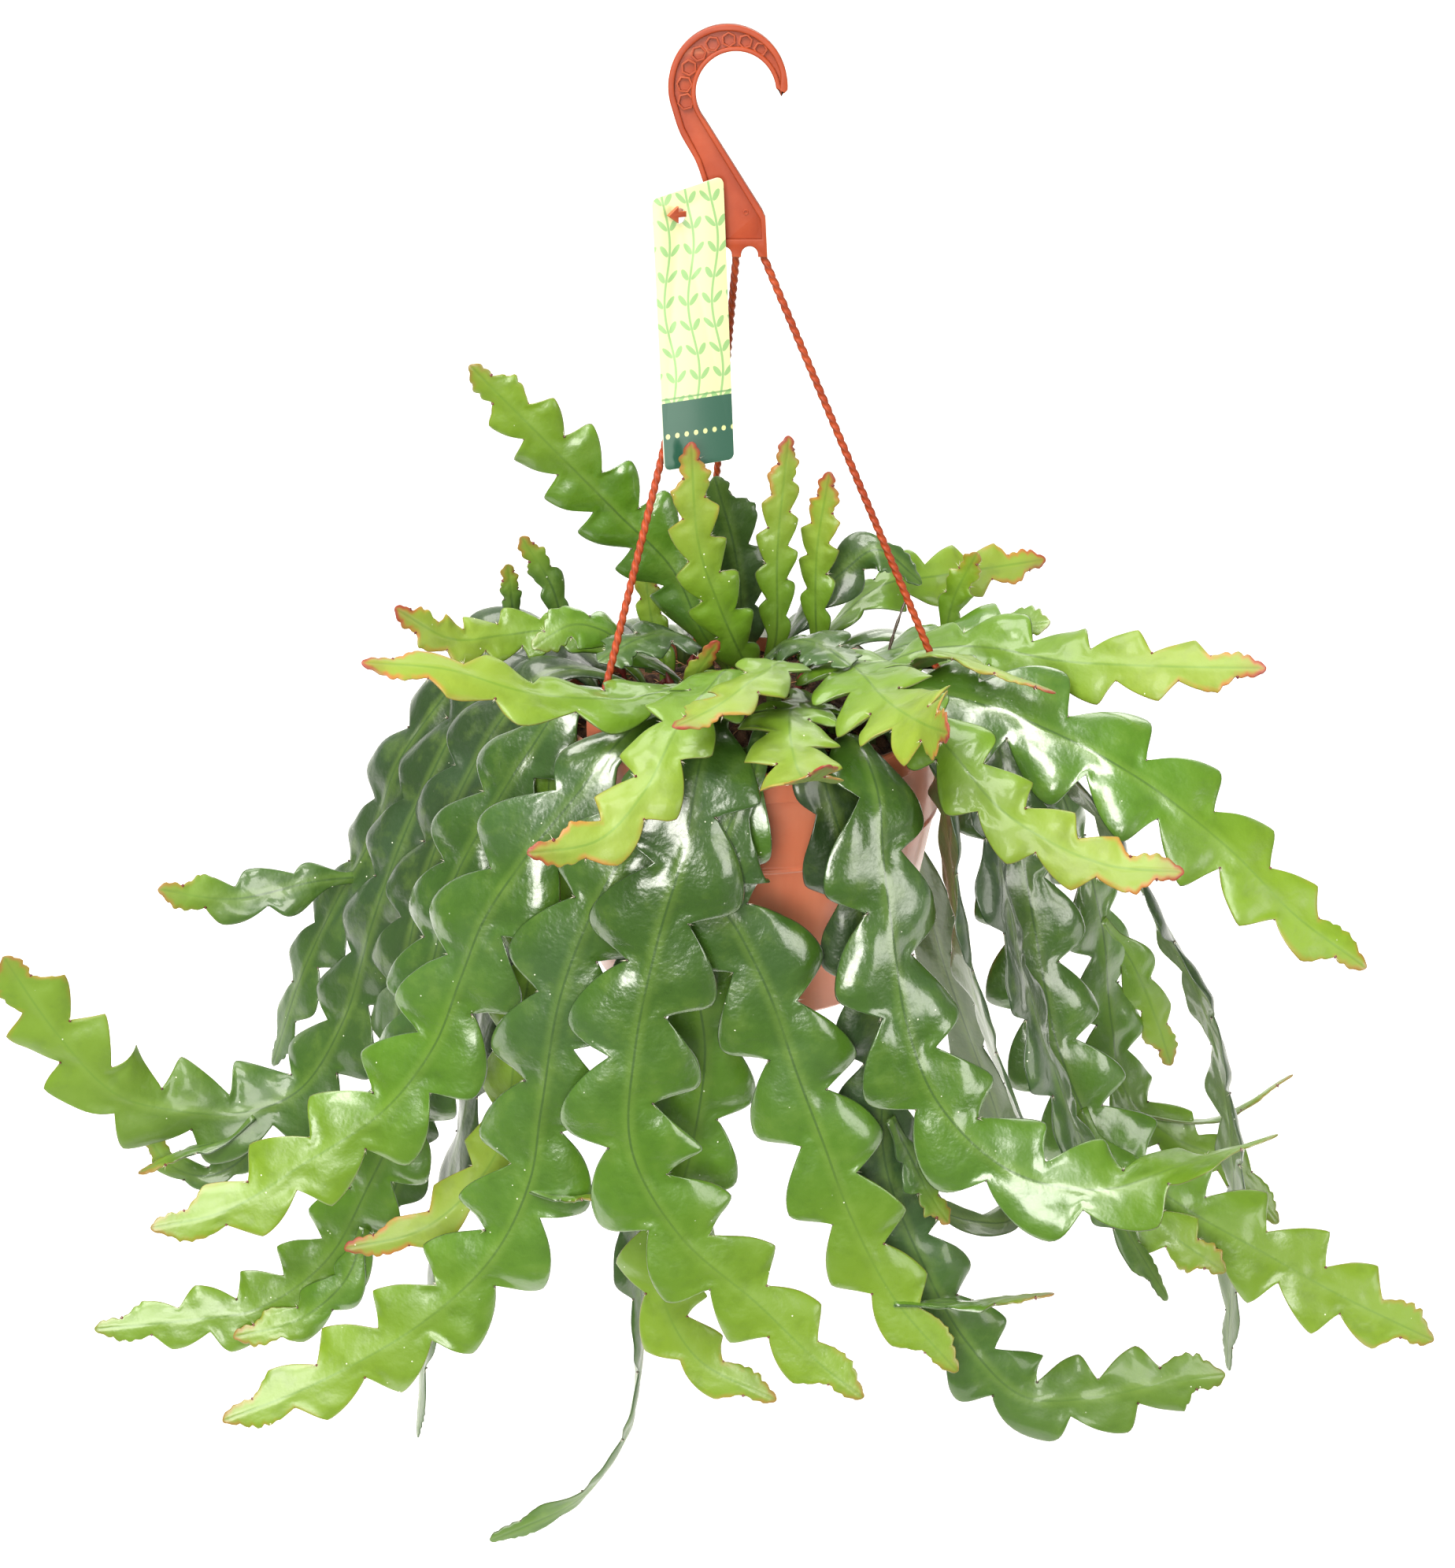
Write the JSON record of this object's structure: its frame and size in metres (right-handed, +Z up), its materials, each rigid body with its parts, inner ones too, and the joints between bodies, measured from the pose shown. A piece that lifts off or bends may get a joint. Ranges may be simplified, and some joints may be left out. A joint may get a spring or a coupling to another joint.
{
  "type": "potted cactus",
  "caption": "Trailing cactus with long flat stems, lobed in a zigzag along both edges, in a round plastic hanging pot with moulded straps, a hook and a blank card tag.",
  "frame": {"origin": "seat of the hook, the top of its inner arc, where the rod it hangs from bears", "axes": "+Z up, -Y towards the viewer of the picture, +X to the viewer's right"},
  "size_m": [0.7172, 0.3604, 0.7323],
  "materials": {
    "hook_plastic": "satin terracotta plastic",
    "strap_plastic": "twisted satin terracotta plastic",
    "tag_card": "coated card, cream with a green foot",
    "pot_plastic": "thin glossy terracotta plastic, slightly translucent",
    "potting_soil": "rough dark brown peat",
    "frond_old": "waxy dark green, some seen from the paler back",
    "frond_mature": "waxy mid green with a soft gloss",
    "frond_young": "waxy yellow green with red margins and tips"
  },
  "bodies": {
    "root": {"hanger_hook": "hook_plastic", "strap_left": "strap_plastic", "strap_right": "strap_plastic", "strap_back": "strap_plastic", "tag_card": "tag_card", "pot": "pot_plastic", "soil": "potting_soil", "frond_upright_left": "frond_mature", "frond_upright_red": "frond_young", "frond_upright_dark": "frond_old", "frond_upright_mid": "frond_young", "frond_upright_right": "frond_young", "frond_bud_middle": "frond_young", "frond_back_right": "frond_young", "frond_back_twisted": "frond_old", "frond_front_sprout": "frond_young", "frond_crown_left": "frond_old", "frond_crown_right": "frond_old", "frond_left_tip": "frond_young", "frond_left_long": "frond_young", "frond_left_short": "frond_mature", "frond_cascade_1": "frond_old", "frond_cascade_2": "frond_old", "frond_cascade_3": "frond_old", "frond_cascade_4": "frond_mature", "frond_cascade_5": "frond_mature", "frond_low_left": "frond_young", "frond_behind_left": "frond_old", "frond_front_left": "frond_mature", "frond_front_main": "frond_mature", "frond_front_behind": "frond_mature", "frond_front_centre": "frond_mature", "frond_front_right": "frond_mature", "frond_front_dark": "frond_old", "frond_front_tail": "frond_old", "frond_front_folded": "frond_young", "frond_star_high": "frond_young", "frond_star_low": "frond_young", "frond_front_edge": "frond_young", "frond_right_low": "frond_young", "frond_right_top": "frond_young", "frond_right_big": "frond_mature", "frond_right_slim": "frond_young", "frond_right_broad": "frond_mature", "frond_edge_front": "frond_old", "frond_edge_dark": "frond_old", "frond_right_sweep": "frond_mature", "frond_right_pale": "frond_mature", "frond_right_long": "frond_old", "frond_rear_1": "frond_old", "frond_rear_2": "frond_old", "frond_rear_3": "frond_mature", "frond_rear_4": "frond_old", "frond_rear_5": "frond_mature", "frond_rear_6": "frond_mature"}
  },
  "joints": []
}
